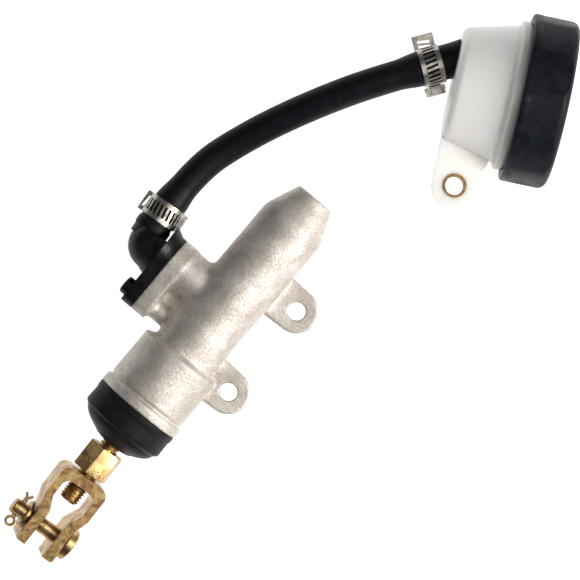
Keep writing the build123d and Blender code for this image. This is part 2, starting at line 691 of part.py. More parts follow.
def band(plane, tail_end):
    """A perforated band about a plane's normal, with a straight tail that leaves it underneath."""
    with BuildSketch(plane.offset(-BAND_WIDTH / 2)) as ring:
        Circle(BAND_R + BAND_THICK)
        Circle(BAND_R, mode=Mode.SUBTRACT)
    extrude(ring.sketch, amount=BAND_WIDTH)
    with BuildSketch(plane.offset(-BAND_WIDTH / 2)) as tail:
        with Locations((-tail_end / 2, BAND_R + BAND_THICK / 2)):
            Rectangle(tail_end, BAND_THICK)
    extrude(tail.sketch, amount=BAND_WIDTH)
    for step in range(SLOT_COUNT):
        turn_angle = radians(360 / SLOT_COUNT * (step + 0.5))
        out = plane.x_dir * cos(turn_angle) + plane.y_dir * sin(turn_angle)
        lean = plane.z_dir.rotate(Axis((0, 0, 0), out), 8)
        with BuildSketch(Plane(origin=plane.origin, x_dir=lean, z_dir=out)) as slot:
            Rectangle(4.6, 0.95)
        extrude(slot.sketch, amount=BAND_R + 4, mode=Mode.SUBTRACT)
    for step in range(int(tail_end / 1.8) - 1):
        base = plane.origin - plane.x_dir * (2.6 + 1.8 * step)
        lean = plane.z_dir.rotate(Axis((0, 0, 0), plane.y_dir), 8)
        with BuildSketch(Plane(origin=base, x_dir=lean, z_dir=plane.y_dir)) as slot:
            Rectangle(4.6, 0.95)
        extrude(slot.sketch, amount=BAND_R + 4, mode=Mode.SUBTRACT)


def screw_plane(plane):
    """The plane across a clamp's worm screw, whose normal points at the screw's head."""
    base = plane.origin + plane.y_dir * SCREW_DROP
    return Plane(origin=base, x_dir=plane.z_dir, z_dir=plane.x_dir)


def housing(plane):
    """The housing around a worm screw: a round-backed saddle that stands on the band."""
    across = screw_plane(plane)
    with BuildSketch(across.offset(WORM_FROM)) as saddle:
        Circle(HOUSING_R)
        with Locations((0, 1.45)):
            Rectangle(BAND_WIDTH + 0.8, 2.6)
    extrude(saddle.sketch, amount=WORM_TO - WORM_FROM)
    bar(across, WORM_R + 0.08, WORM_FROM - 1, WORM_TO + 1, mode=Mode.SUBTRACT)


def worm(plane, head_end):
    """A worm screw with a slotted hexagon head."""
    across = screw_plane(plane)
    head_start = head_end - HEAD_LENGTH
    bar(across, WORM_R, WORM_FROM + 0.4, head_start)
    with BuildSketch(across.offset(head_start)) as head:
        RegularPolygon(radius=HEAD_FLATS / 2, side_count=6, major_radius=False)
    extrude(head.sketch, amount=HEAD_LENGTH)
    with BuildSketch(across.offset(head_end)) as driver_slot:
        Rectangle(HEAD_FLATS + 2, 1.1)
    extrude(driver_slot.sketch, amount=-1.5, mode=Mode.SUBTRACT)

with BuildPart() as lower_clamp_band:
    band(LOWER_CLAMP, 9.5)
save(lower_clamp_band.part, "lower_clamp_band")
with BuildPart() as lower_clamp_housing:
    housing(LOWER_CLAMP)
save(lower_clamp_housing.part, "lower_clamp_housing")
with BuildPart() as lower_clamp_screw:
    worm(LOWER_CLAMP, 8.4)
save(lower_clamp_screw.part, "lower_clamp_screw")
with BuildPart() as upper_clamp_band:
    band(UPPER_CLAMP, 12.5)
save(upper_clamp_band.part, "upper_clamp_band")
with BuildPart() as upper_clamp_housing:
    housing(UPPER_CLAMP)
save(upper_clamp_housing.part, "upper_clamp_housing")
with BuildPart() as upper_clamp_screw:
    worm(UPPER_CLAMP, 10.4)
save(upper_clamp_screw.part, "upper_clamp_screw")

# ==== Reservoir: tank, bush, diaphragm, plate and screw cap =====================================
TANK_NIPPLE = Plane(origin=HOSE_END, x_dir=UPPER_PLANE.x_dir, z_dir=-UPPER_DIR)

with BuildPart() as tank:
    with BuildSketch(TANK_PLANE):
        with BuildLine():
            FilletPolyline(
                (0, 0),
                (0, TANK_FLOOR_R),
                (TANK_DEPTH - 0.5, TANK_TOP_R),
                (TANK_DEPTH, COLLAR_R),
                (COLLAR_END, COLLAR_R),
                (COLLAR_END, NECK_R),
                (NECK_END, NECK_R),
                (NECK_END, 0),
                radius=(0, 3.5, 1.5, 0.6, 0.6, 0, 0.4, 0),
                close=True,
            )
        make_face()
    revolve(axis=TANK_AXIS)
    # The tab is flush with the floor and widens into a web below the collar.
    with BuildSketch(TANK_PLANE):
        with BuildLine():
            FilletPolyline(
                (0.1, -14),
                (0.1, -TAB_HOLE_B - TAB_R),
                (TAB_HOLE_S + TAB_R - 0.1, -TAB_HOLE_B - TAB_R),
                (TAB_HOLE_S + TAB_R - 0.1, -TAB_HOLE_B + 2),
                (TANK_DEPTH - 1.5, -COLLAR_R + 4),
                (TANK_DEPTH - 1.5, -14),
                radius=(0, TAB_R - 0.2, TAB_R - 0.2, 8, 1.0, 0),
                close=True,
            )
        make_face()
    extrude(amount=TAB_THICK / 2, both=True)
    bar(TANK_NIPPLE, HOSE_R - 0.9, -ROOT_LENGTH, -0.4)
    barbed_nipple(TANK_NIPPLE, -ROOT_LENGTH)
    turn_tank(
        (TANK_WALL, 0),
        (TANK_WALL, TANK_FLOOR_R - TANK_WALL - 2),
        (TANK_WALL + 2, TANK_FLOOR_R - TANK_WALL),
        (TANK_DEPTH, TANK_TOP_R - TANK_WALL),
        (NECK_END + 1, TANK_TOP_R - TANK_WALL),
        (NECK_END + 1, 0),
        mode=Mode.SUBTRACT,
    )
    bar(TANK_NIPPLE, NIPPLE_WAY_R, -ROOT_LENGTH - 1, NIPPLE_LENGTH + 1, mode=Mode.SUBTRACT)
    with BuildSketch(Plane(origin=TAB_HOLE, z_dir=(0, 0, 1))):
        Circle(BUSH_R)
    extrude(amount=TAB_THICK, both=True, mode=Mode.SUBTRACT)
save(tank.part, "tank")

with BuildPart() as tab_bush:
    with BuildSketch(Plane(origin=TAB_HOLE, z_dir=(0, 0, 1))):
        Circle(BUSH_R)
        Circle(BUSH_BORE_R, mode=Mode.SUBTRACT)
    extrude(amount=TAB_THICK / 2 + 0.3, both=True)
save(tab_bush.part, "tab_bush")

RUBBER_END = NECK_END + 1.4

with BuildPart() as diaphragm:
    turn_tank(
        (NECK_END, NECK_R - 0.2),
        (RUBBER_END, NECK_R - 0.2),
        (RUBBER_END, 20.5),
        (30.5, 20.5),
        (30.5, 15.0),
        (34.0, 14.0),
        (34.0, 0),
        (32.8, 0),
        (32.8, 13.2),
        (29.3, 14.2),
        (29.3, 21.7),
        (NECK_END, 21.7),
    )
save(diaphragm.part, "diaphragm")

with BuildPart() as cap_plate:
    turn_tank(
        (RUBBER_END, 3.0),
        (RUBBER_END, NECK_R - 0.2),
        (PLATE_END, NECK_R - 0.2),
        (PLATE_END, 3.0),
    )
save(cap_plate.part, "cap_plate")

CAP_BORE_R = NECK_R + 0.4

with BuildPart() as cap:
    with BuildSketch(TANK_PLANE):
        with BuildLine():
            FilletPolyline(
                (CAP_START, 0),
                (CAP_START, CAP_R),
                (CAP_END - 1.2, CAP_R),
                (CAP_END, 0),
                radius=(0, 0.9, 3.2, 0),
                close=True,
            )
        make_face()
    revolve(axis=TANK_AXIS)
    with BuildSketch(TANK_ACROSS.offset(BEAD_END)) as facets:
        Circle(CAP_R + 5)
        RegularPolygon(
            radius=CAP_FLATS_R, side_count=CAP_FACETS, major_radius=False, mode=Mode.SUBTRACT
        )
    extrude(facets.sketch, amount=CAP_END, mode=Mode.SUBTRACT)
    turn_tank(
        (CAP_START - 1, 0),
        (CAP_START - 1, CAP_BORE_R),
        (PLATE_END + 0.1, CAP_BORE_R),
        (PLATE_END + 0.1, 0),
        mode=Mode.SUBTRACT,
    )
save(cap.part, "cap")
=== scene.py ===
"""Rear brake master cylinder with a remote fluid reservoir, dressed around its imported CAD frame.

The row frame is the CAD's: +Y runs along the bore to the outlet, +X from the bore to the mounting
lugs and +Z up from the floor. Every length here is in metres and every angle in radians.
"""
import json
import logging
from collections.abc import Callable, Iterator, Sequence
from contextlib import contextmanager
from dataclasses import dataclass, field
from enum import Enum
from math import atan2, pi, radians

import bmesh
import bpy
import numpy as np
from bmesh.types import BMesh
from bpy.types import ID, Material, Mesh, NodeSocket, Object, ShaderNode
from mathutils import Matrix, Vector


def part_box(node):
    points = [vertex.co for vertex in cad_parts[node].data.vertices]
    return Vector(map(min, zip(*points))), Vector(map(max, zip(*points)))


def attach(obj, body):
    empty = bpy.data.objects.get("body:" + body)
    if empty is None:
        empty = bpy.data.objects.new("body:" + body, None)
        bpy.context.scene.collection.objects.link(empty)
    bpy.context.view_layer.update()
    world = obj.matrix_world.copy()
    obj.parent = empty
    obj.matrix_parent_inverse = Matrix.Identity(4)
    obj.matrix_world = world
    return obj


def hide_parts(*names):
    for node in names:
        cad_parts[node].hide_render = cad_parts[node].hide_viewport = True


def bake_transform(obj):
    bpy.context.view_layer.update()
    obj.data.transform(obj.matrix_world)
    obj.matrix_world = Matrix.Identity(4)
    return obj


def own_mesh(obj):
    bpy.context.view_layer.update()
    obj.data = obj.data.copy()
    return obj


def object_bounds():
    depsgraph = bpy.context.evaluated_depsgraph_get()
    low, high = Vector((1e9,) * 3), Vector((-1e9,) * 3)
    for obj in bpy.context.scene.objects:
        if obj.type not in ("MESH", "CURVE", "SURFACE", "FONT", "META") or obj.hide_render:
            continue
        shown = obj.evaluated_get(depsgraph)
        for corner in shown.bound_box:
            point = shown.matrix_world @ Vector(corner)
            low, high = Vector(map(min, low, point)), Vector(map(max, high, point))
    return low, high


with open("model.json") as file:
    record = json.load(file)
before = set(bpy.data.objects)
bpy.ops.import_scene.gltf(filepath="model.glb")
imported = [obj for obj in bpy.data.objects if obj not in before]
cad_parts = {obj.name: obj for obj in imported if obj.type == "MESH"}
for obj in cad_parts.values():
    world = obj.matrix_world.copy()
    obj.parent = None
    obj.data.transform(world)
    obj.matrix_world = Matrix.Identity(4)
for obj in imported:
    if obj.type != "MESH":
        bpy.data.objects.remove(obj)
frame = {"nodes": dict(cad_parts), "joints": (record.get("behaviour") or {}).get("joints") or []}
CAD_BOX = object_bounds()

LOG = logging.getLogger("master_cylinder")
MM = 0.001
TURN = 2 * pi
WELD = 2e-6  # how near two of a CAD part's corners are joined
POLE_WELD = 1e-7  # the same for a new piece's poles
SLIVER = 1e-8  # an edge shorter than this is removed
FLAT_ANGLE = radians(0.4)  # triangles that turn less are one face
EDGE_ANGLE = radians(35)  # an edge that turns more is rounded
BEVEL_STEPS = 3
RUN_SHARE = 0.45  # the most of a straight run that one corner's rounding takes
Vec = tuple[float, float, float]
Colour = tuple[float, float, float]


class Body(str, Enum):
    """The CAD bodies that new pieces ride on."""

    CYLINDER = "cylinder"
    PUSH_ROD = "push_rod"
    CLEVIS = "clevis"
    PIN = "pin"
    RESERVOIR = "reservoir"
    LOWER_SCREW = "lower_screw"
    UPPER_SCREW = "upper_screw"
    CAP = "cap"


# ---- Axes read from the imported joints


def unit(vector: Sequence[float]) -> np.ndarray:
    """The vector at length one."""
    array = np.asarray(vector, float)
    return array / np.linalg.norm(array)


@dataclass(frozen=True)
class AxisLine:
    """A straight axis in the row frame, with a direction across it that angles are counted from."""

    origin: Vec
    along: Vec
    across: Vec

    def directions(self) -> tuple[np.ndarray, np.ndarray, np.ndarray]:
        """The unit directions along the axis, across it, and square to both."""
        along = unit(self.along)
        across = np.asarray(self.across, float)
        across = unit(across - along * (across @ along))
        return along, across, np.cross(along, across)

    def points(self, station: np.ndarray, radius: np.ndarray, angle: np.ndarray) -> np.ndarray:
        """Points about the axis.

        Each is the origin, plus the station along the axis, plus the radius times the cosine of the
        angle across it and its sine square to both.

        Args:
            station: Distances along the axis.
            radius: Distances from the axis.
            angle: Angles about the axis.

        Returns:
            An array of points, one for each entry of the three arrays broadcast together.
        """
        along, across, up = self.directions()
        station, radius, angle = (np.asarray(a, float)[..., None] for a in (station, radius, angle))
        turned = radius * (np.cos(angle) * across + np.sin(angle) * up)
        return np.asarray(self.origin) + station * along + turned


def joint(name: str) -> dict:
    """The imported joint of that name."""
    return next(j for j in frame["joints"] if j["name"] == name)


BALL = tuple(joint("rod_swing")["pos_m"])
BORE = AxisLine((BALL[0], 0.0, BALL[2]), (0.0, 1.0, 0.0), (1.0, 0.0, 0.0))
ROD = AxisLine(BALL, tuple(joint("clevis_turn")["axis"]), (1.0, 0.0, 0.0))
TANK_AXIS = tuple(joint("cap_turn")["axis"])
TANK_MARK = 30 * MM  # station of the cap joint's point, from the tank's floor
TANK_FLOOR = tuple(np.asarray(joint("cap_turn")["pos_m"]) - TANK_MARK * unit(TANK_AXIS))
TANK = AxisLine(TANK_FLOOR, TANK_AXIS, (0.0, 0.0, 1.0))


# ---- Surfaces on a grid


def smooth(value: np.ndarray) -> np.ndarray:
    """Nought below 0, one above 1, and three squares less two cubes of the value in between."""
    held = np.clip(value, 0.0, 1.0)
    return held * held * (3 - 2 * held)


def soften(outline: Sequence[tuple[float, float]], reach: float, steps: int = 5) -> np.ndarray:
    """An outline with every corner between its two ends eased.

    A corner is replaced by a parabola that leaves each of its two runs at the reach from the corner,
    or at a share of the run where that is shorter.

    Args:
        outline: The corner points, in order.
        reach: How far from a corner its rounding starts.
        steps: Points on each rounding.

    Returns:
        The eased outline, as rows of two numbers.
    """
    corners = np.asarray(outline, float)
    before, corner, after = corners[:-2], corners[1:-1], corners[2:]
    ends = []
    for run in (before - corner, after - corner):
        length = np.linalg.norm(run, axis=1, keepdims=True)
        ends.append((corner + run / length * np.minimum(reach, RUN_SHARE * length))[:, None])
    t = np.linspace(0, 1, steps)[None, :, None]
    arcs = (1 - t) ** 2 * ends[0] + 2 * t * (1 - t) * corner[:, None] + t**2 * ends[1]
    return np.vstack([corners[:1], arcs.reshape(-1, 2), corners[-1:]])


def read(items: bpy.types.bpy_prop_collection, key: str, width: int, kind: type = float) -> np.ndarray:
    """One property of every item in a mesh's list, as rows."""
    values = np.empty(len(items) * width, kind)
    items.foreach_get(key, values)
    return values.reshape(-1, width)


@contextmanager
def editing(source: Mesh, target: Mesh | None = None) -> Iterator[BMesh]:
    """Edit a mesh, or a copy of it that is written to the target."""
    work = bmesh.new()
    work.from_mesh(source)
    yield work
    work.to_mesh(target or source)
    work.free()


def placed(name: str, data: ID) -> Object:
    """A new object in the scene, at the origin."""
    item = bpy.data.objects.new(name, data)
    bpy.context.scene.collection.objects.link(item)
    return item


def new_piece(name: str, points: np.ndarray, faces: list, corners: np.ndarray | None = None) -> Object:
    """A smooth-shaded mesh object at the origin.

    Args:
        name: The piece's name.
        points: Its vertices.
        faces: Its faces, as vertex numbers.
        corners: The texture place of each face corner, in face order, if it has one.

    Returns:
        The new object, linked to the scene.
    """
    mesh = bpy.data.meshes.new(name)
    mesh.from_pydata(points.reshape(-1, 3).tolist(), [], faces)
    if corners is not None:
        layer = mesh.uv_layers.new(name="along")
        layer.uv.foreach_set("vector", corners.astype(np.float32).ravel())
    mesh.shade_smooth()
    return placed(name, mesh)


def grid_piece(name: str, points: np.ndarray, loop_rows: bool = False) -> Object:
    """A piece from a grid of points whose columns close round.

    A first or last row that is a single repeated point becomes a pole. The texture place of a point
    is its share of the way round, and of the way down the rows.

    Args:
        name: The piece's name.
        points: Rows by columns of points, rows in order along the surface.
        loop_rows: Whether the last row joins the first, as on a closed ring.

    Returns:
        The new piece.
    """
    rows, columns = points.shape[:2]
    number = np.arange(rows * columns).reshape(rows, columns)
    if loop_rows:
        number = np.vstack([number, number[:1]])
    left, right = number, np.roll(number, -1, axis=1)
    quads = np.stack([left[:-1], right[:-1], right[1:], left[1:]], axis=-1).reshape(-1, 4)
    steps = len(number) - 1
    u, v = np.meshgrid(np.arange(columns) / columns, np.arange(steps) / steps)
    square = np.array([(0, 0), (1, 0), (1, 1), (0, 1)]) / (columns, steps)
    piece = new_piece(name, points, quads.tolist(), np.stack([u, v], axis=-1)[..., None, :] + square)
    with editing(piece.data) as work:
        bmesh.ops.remove_doubles(work, verts=work.verts, dist=POLE_WELD)
        bmesh.ops.dissolve_degenerate(work, edges=work.edges, dist=SLIVER)
    return piece


def round_angles(columns: int) -> np.ndarray:
    """Even angles once round, as one row."""
    return np.linspace(0, TURN, columns, endpoint=False)[None, :]


def rings(line: np.ndarray, up: Vec, columns: int) -> tuple[np.ndarray, np.ndarray]:
    """Circles of radius one about each point of a line.

    Args:
        line: The points.
        up: A direction that the line never follows.
        columns: Steps round each circle.

    Returns:
        The tangents, and the directions outwards: the cosine of the angle times the direction across
        both the line and up, plus its sine square to that and the line.
    """
    tangent = np.gradient(line, axis=0)
    tangent /= np.linalg.norm(tangent, axis=1, keepdims=True)
    across = np.cross(tangent, np.asarray(up, float))
    across /= np.linalg.norm(across, axis=1, keepdims=True)
    lift = np.cross(tangent, across)
    angle = round_angles(columns)[..., None]
    return tangent, np.cos(angle) * across[:, None] + np.sin(angle) * lift[:, None]


def capped(points: np.ndarray) -> np.ndarray:
    """A grid with a pole added at the middle of its first row and of its last."""
    poles = [points[end].mean(axis=0)[None, None] for end in (0, -1)]
    first, last = (np.repeat(pole, points.shape[1], axis=1) for pole in poles)
    return np.concatenate([first, points, last])


def merged_copy(node: str, name: str) -> Object:
    """A CAD node's mesh with its loose triangles joined, as a new object that stands for the node.

    Args:
        node: The CAD node.
        name: The new piece's name.

    Returns:
        The new piece, with no material yet.
    """
    mesh = bpy.data.meshes.new(name)
    with editing(frame["nodes"][node].data, mesh) as work:
        bmesh.ops.remove_doubles(work, verts=work.verts, dist=WELD)
    mesh.materials.clear()
    piece = placed(name, mesh)
    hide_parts(node)
    return piece


# ---- Finishes


class Bench:
    """Lays out one material's nodes around its Principled shader."""

    def __init__(self, name: str) -> None:
        """Start a material.

        Args:
            name: The material's name.
        """
        self.material = bpy.data.materials.new(name)
        self.material.use_nodes = True
        self.tree = self.material.node_tree
        self.shader = self.tree.nodes["Principled BSDF"]
        self.source = self.tree.nodes.new("ShaderNodeTexCoord")

    def give(self, socket: NodeSocket, value: NodeSocket | Colour | float) -> None:
        """Link a value to a socket, or set the socket to it where it is a constant."""
        if isinstance(value, NodeSocket):
            self.tree.links.new(value, socket)
        else:
            socket.default_value = (*value, 1.0) if socket.type == "RGBA" else value

    def set(self, **values: NodeSocket | Colour | float) -> None:
        """Give values to the shader's own sockets, underscores standing for spaces."""
        for name, value in values.items():
            self.give(self.shader.inputs[name.replace("_", " ")], value)

    def node(self, kind: str, **values: NodeSocket | Vec | float) -> ShaderNode:
        """A new node, its sockets given values in the same way."""
        made = self.tree.nodes.new(f"ShaderNode{kind}")
        for name, value in values.items():
            self.give(made.inputs[name.replace("_", " ")], value)
        return made

    def place(self, centre: Vec = (0, 0, 0), turn: Vec = (0, 0, 0), stretch: Vec = (1, 1, 1),
              uv: bool = False) -> NodeSocket:
        """Where a pattern is read.

        Args:
            centre: The point that becomes the pattern's middle.
            turn: The pattern's turn about X, Y and Z.
            stretch: The pattern's scale on X, Y and Z.
            uv: Whether the piece's own texture map is read, and not its object coordinates.

        Returns:
            The mapped coordinates.
        """
        source = self.source.outputs["UV" if uv else "Object"]
        mapping = self.node("Mapping", Vector=source, Location=centre, Rotation=turn, Scale=stretch)
        mapping.vector_type = "TEXTURE" if any(centre) or any(turn) else "POINT"
        return mapping.outputs["Vector"]

    def noise(self, place: NodeSocket, cell: float, detail: float = 3.0, warp: float = 0.0) -> NodeSocket:
        """Cloudy noise, from nought to one.

        Args:
            place: Where it is read.
            cell: The size of its largest lumps.
            detail: How many finer layers lie on them.
            warp: How far the lumps are pulled about.

        Returns:
            The noise's value.
        """
        node = self.node("TexNoise", Vector=place, Scale=1 / cell, Detail=detail, Roughness=0.6,
                         Distortion=warp)
        return node.outputs["Fac"]

    def pits(self, place: NodeSocket, cell: float) -> NodeSocket:
        """The distance from the nearest of a scatter of points, in cells.

        Args:
            place: Where it is read.
            cell: The usual distance between points.

        Returns:
            The distance.
        """
        return self.node("TexVoronoi", Vector=place, Scale=1 / cell).outputs["Distance"]

    def span(self, value: NodeSocket, low: float, high: float, to_low: float, to_high: float) -> NodeSocket:
        """A value stretched from one range onto another and held inside it.

        Args:
            value: The value.
            low: Where the first range starts.
            high: Where it ends.
            to_low: What its start becomes.
            to_high: What its end becomes.

        Returns:
            The stretched value.
        """
        node = self.node("MapRange", Value=value, From_Min=low, From_Max=high, To_Min=to_low,
                         To_Max=to_high)
        return node.outputs["Result"]

    def mix(self, share: NodeSocket, under: NodeSocket | Colour, over: NodeSocket | Colour) -> NodeSocket:
        """One colour laid over another by a share.

        Args:
            share: How much of the upper colour shows.
            under: The lower colour.
            over: The upper colour.

        Returns:
            The mixed colour.
        """
        node = self.node("Mix", Factor=share)
        node.data_type = "RGBA"
        colours = [socket for socket in node.inputs if socket.type == "RGBA"]
        for socket, colour in zip(colours, (under, over)):
            self.give(socket, colour)
        return next(socket for socket in node.outputs if socket.type == "RGBA")

    def first(self, place: NodeSocket) -> NodeSocket:
        """The X of a place."""
        return self.node("SeparateXYZ", Vector=place).outputs["X"]

    def add(self, first: NodeSocket, second: NodeSocket, weight: float) -> NodeSocket:
        """The first value plus the second times a weight."""
        node = self.node("Math")
        node.operation = "MULTIPLY_ADD"
        for socket, value in zip(node.inputs, (second, weight, first)):
            self.give(socket, value)
        return node.outputs[0]

    def relief(self, height: NodeSocket, depth: float) -> None:
        """Bump the shader's surface by a height from nought to one, times a depth in metres."""
        node = self.node("Bump", Strength=1.0, Distance=depth, Height=height)
        self.set(Normal=node.outputs["Normal"])


@dataclass(frozen=True)
class Finish:
    """A named finish, listed with its slot's name."""

    name: str
    slot: str

    def material(self) -> Material:
        """The finish's material, made the first time that it is asked for."""
        made = bpy.data.materials.get(self.name)
        return made if made is not None else self.paint()

    def paint(self) -> Material:
        """Build the material."""
        raise NotImplementedError

    def dress(self, piece: Object) -> None:
        """Give a piece this finish."""
        piece.data.materials.clear()
        piece.data.materials.append(self.material())

    def dress_node(self, node: str) -> None:
        """Give a CAD node this finish, in every material slot it has."""
        piece = frame["nodes"][node]
        for holder in piece.material_slots:
            holder.material = self.material()


@dataclass(frozen=True)
class CastMetal(Finish):
    """Sand-cast aluminium: grainy, mottled, and brighter on its high spots."""

    hollow: Colour = (0.22, 0.19, 0.16)
    skin: Colour = (0.57, 0.52, 0.465)
    crest: Colour = (0.80, 0.755, 0.70)
    grain: float = 0.8 * MM
    depth: float = 0.11 * MM

    def paint(self) -> Material:
        """Slow mottling under a fine grain whose low spots are darker and rougher, with pits."""
        bench = Bench(self.name)
        place = bench.place()
        clouds = bench.noise(place, 9 * MM, 4.0, 0.4)
        grain = bench.noise(place, self.grain, 3.0)
        pits = bench.pits(place, 1.3 * MM)
        base = bench.mix(bench.span(clouds, 0.35, 0.68, 0, 1), self.skin, self.crest)
        base = bench.mix(bench.span(grain, 0.56, 0.36, 0, 0.3), base, self.hollow)
        bench.set(Base_Color=base, Roughness=bench.span(grain, 0.3, 0.7, 0.72, 0.54), Metallic=0.82)
        bench.relief(bench.add(grain, pits, 0.35), self.depth)
        return bench.material


@dataclass(frozen=True)
class Moulded(Finish):
    """Moulded plastic or rubber, with faint flow marks and a fine pebble."""

    dark: Colour = (0.003, 0.003, 0.003)
    light: Colour = (0.010, 0.010, 0.011)
    shine: float = 0.45
    pebble: float = 0.35 * MM
    depth: float = 0.03 * MM
    coat: float = 0.0
    sheen: float = 0.0
    glint: float = 0.14

    def paint(self) -> Material:
        """Soft clouds of two close shades under a fine pebble, duller where the clouds are light."""
        bench = Bench(self.name)
        place = bench.place()
        clouds = bench.noise(place, 6 * MM, 4.0, 0.6)
        pebble = bench.noise(place, self.pebble, 2.0)
        bench.set(Base_Color=bench.mix(bench.span(clouds, 0.35, 0.7, 0, 1), self.dark, self.light))
        bench.set(Roughness=bench.span(clouds, 0.3, 0.7, self.shine - 0.06, self.shine + 0.12),
                  Coat_Weight=self.coat, Coat_Roughness=0.18, Sheen_Weight=self.sheen, Sheen_Roughness=0.4,
                  Specular_IOR_Level=self.glint)
        bench.relief(pebble, self.depth)
        return bench.material


@dataclass(frozen=True)
class HoseRubber(Finish):
    """Extruded rubber: drawn lines along its length and dusty scuffs."""

    dark: Colour = (0.003, 0.003, 0.005)
    dust: Colour = (0.013, 0.015, 0.021)

    def paint(self) -> Material:
        """Noise stretched down the hose for the drawn lines, with round scuffs over it."""
        bench = Bench(self.name)
        drawn = bench.noise(bench.place(stretch=(34.0, 1.5, 1.0), uv=True), 1.0, 3.0)
        place = bench.place()
        scuffs = bench.noise(place, 5 * MM, 5.0, 0.8)
        grain = bench.noise(place, 0.3 * MM, 2.0)
        worn = bench.mix(bench.span(scuffs, 0.52, 0.8, 0, 0.7), self.dark, self.dust)
        bench.set(Base_Color=bench.mix(bench.span(drawn, 0.45, 0.75, 0, 0.35), worn, self.dust))
        bench.set(Roughness=bench.span(scuffs, 0.3, 0.75, 0.42, 0.6), Specular_IOR_Level=0.16)
        bench.relief(bench.add(drawn, grain, 0.6), 0.035 * MM)
        return bench.material


@dataclass(frozen=True)
class YellowZinc(Finish):
    """Yellow chromated zinc: gold with brown, rose and pale green patches, and handling marks."""

    deep: Colour = (0.27, 0.125, 0.055)
    gold: Colour = (0.60, 0.42, 0.17)
    pale: Colour = (0.86, 0.79, 0.42)
    rose: Colour = (0.42, 0.18, 0.13)
    green: Colour = (0.36, 0.40, 0.22)

    def paint(self) -> Material:
        """Drifting patches of each tint over gold, with scratches that show the pale metal."""
        bench = Bench(self.name)
        place = bench.place()
        drift = bench.noise(place, 5 * MM, 3.0, 1.2)
        patches = bench.noise(bench.place(stretch=(1.0, 1.0, 1.6)), 2.6 * MM, 4.0, 0.8)
        scratches = bench.noise(bench.place(turn=(0.3, 0.2, 0.7), stretch=(9.0, 0.8, 0.8)), 1.1 * MM, 5.0)
        grain = bench.noise(place, 0.45 * MM, 3.0)
        base = bench.mix(bench.span(drift, 0.36, 0.62, 0, 1), self.deep, self.gold)
        base = bench.mix(bench.span(patches, 0.55, 0.8, 0, 0.5), base, self.pale)
        base = bench.mix(bench.span(patches, 0.42, 0.3, 0, 0.6), base, self.rose)
        base = bench.mix(bench.span(drift, 0.6, 0.75, 0, 0.4), base, self.green)
        base = bench.mix(bench.span(scratches, 0.64, 0.76, 0, 0.35), base, self.pale)
        bench.set(Base_Color=base, Roughness=bench.span(patches, 0.3, 0.7, 0.40, 0.22), Metallic=0.95)
        bench.relief(bench.add(grain, scratches, 0.5), 0.05 * MM)
        return bench.material


@dataclass(frozen=True)
class RolledSteel(Finish):
    """Bright or blackened steel with lines from rolling or turning along one direction."""

    shade: Colour = (0.26, 0.24, 0.22)
    bright: Colour = (0.80, 0.77, 0.72)
    turn: Vec = (0.0, 0.0, 0.0)
    shine: float = 0.24

    def paint(self) -> Material:
        """Noise drawn out along the work, with tarnish in slow clouds."""
        bench = Bench(self.name)
        lines = bench.noise(bench.place(turn=self.turn, stretch=(8.0, 0.5, 0.5)), 1.2 * MM, 4.0)
        tarnish = bench.noise(bench.place(), 3 * MM, 4.0, 0.8)
        base = bench.mix(bench.span(tarnish, 0.3, 0.66, 0, 1), self.shade, self.bright)
        bench.set(Base_Color=bench.mix(bench.span(lines, 0.6, 0.35, 0, 0.3), base, self.shade))
        bench.set(Roughness=bench.span(lines, 0.3, 0.7, self.shine, self.shine + 0.2), Metallic=1.0)
        bench.relief(lines, 0.02 * MM)
        return bench.material


@dataclass(frozen=True)
class Milky(Finish):
    """Translucent white plastic that light wanders through, with painted shade by the collar and a faint
    painted glow.
    """

    white: Colour = (0.91, 0.895, 0.865)
    warm: Colour = (0.87, 0.84, 0.77)
    # the colour of the painted shade by the collar and cap
    collar_shade: Colour = (0.16, 0.145, 0.12)
    collar_shade_from: float = 19.0 * MM  # stations from the tank's floor where the painted shade by the collar starts and is deepest
    collar_shade_to: float = 24.5 * MM

    def paint(self) -> Material:
        """Warm clouds in the white, painted shade along the tank's axis by the collar, orange peel,
        scattering beneath and a faint painted glow.
        """
        bench = Bench(self.name)
        place = bench.place()
        clouds = bench.noise(place, 14 * MM, 3.0, 0.5)
        peel = bench.noise(place, 1.6 * MM, 2.0)
        fine = bench.noise(place, 0.4 * MM, 2.0)
        clean = bench.mix(bench.span(clouds, 0.4, 0.75, 0, 0.8), self.white, self.warm)
        # Painted shade: the white darkens along the tank's axis towards the cap, standing in for the shade by
        # the collar.
        axis_turn = (0.0, 0.0, atan2(TANK_AXIS[1], TANK_AXIS[0]))
        station = bench.first(bench.place(centre=TANK_FLOOR, turn=axis_turn))
        collar_shading = bench.span(station, self.collar_shade_from, self.collar_shade_to, 0, 0.9)
        bench.set(Base_Color=bench.mix(collar_shading, clean, self.collar_shade))
        bench.set(Roughness=bench.span(peel, 0.3, 0.7, 0.30, 0.46))
        # The emission is a painted glow that lifts the tank's darker sides.
        bench.set(Subsurface_Weight=0.85, Subsurface_Scale=3.5 * MM, Subsurface_Radius=(1.0, 0.9, 0.75),
                  Coat_Weight=0.15, Coat_Roughness=0.25, Emission_Color=self.white, Emission_Strength=0.07)
        bench.relief(bench.add(peel, fine, 0.25), 0.05 * MM)
        return bench.material


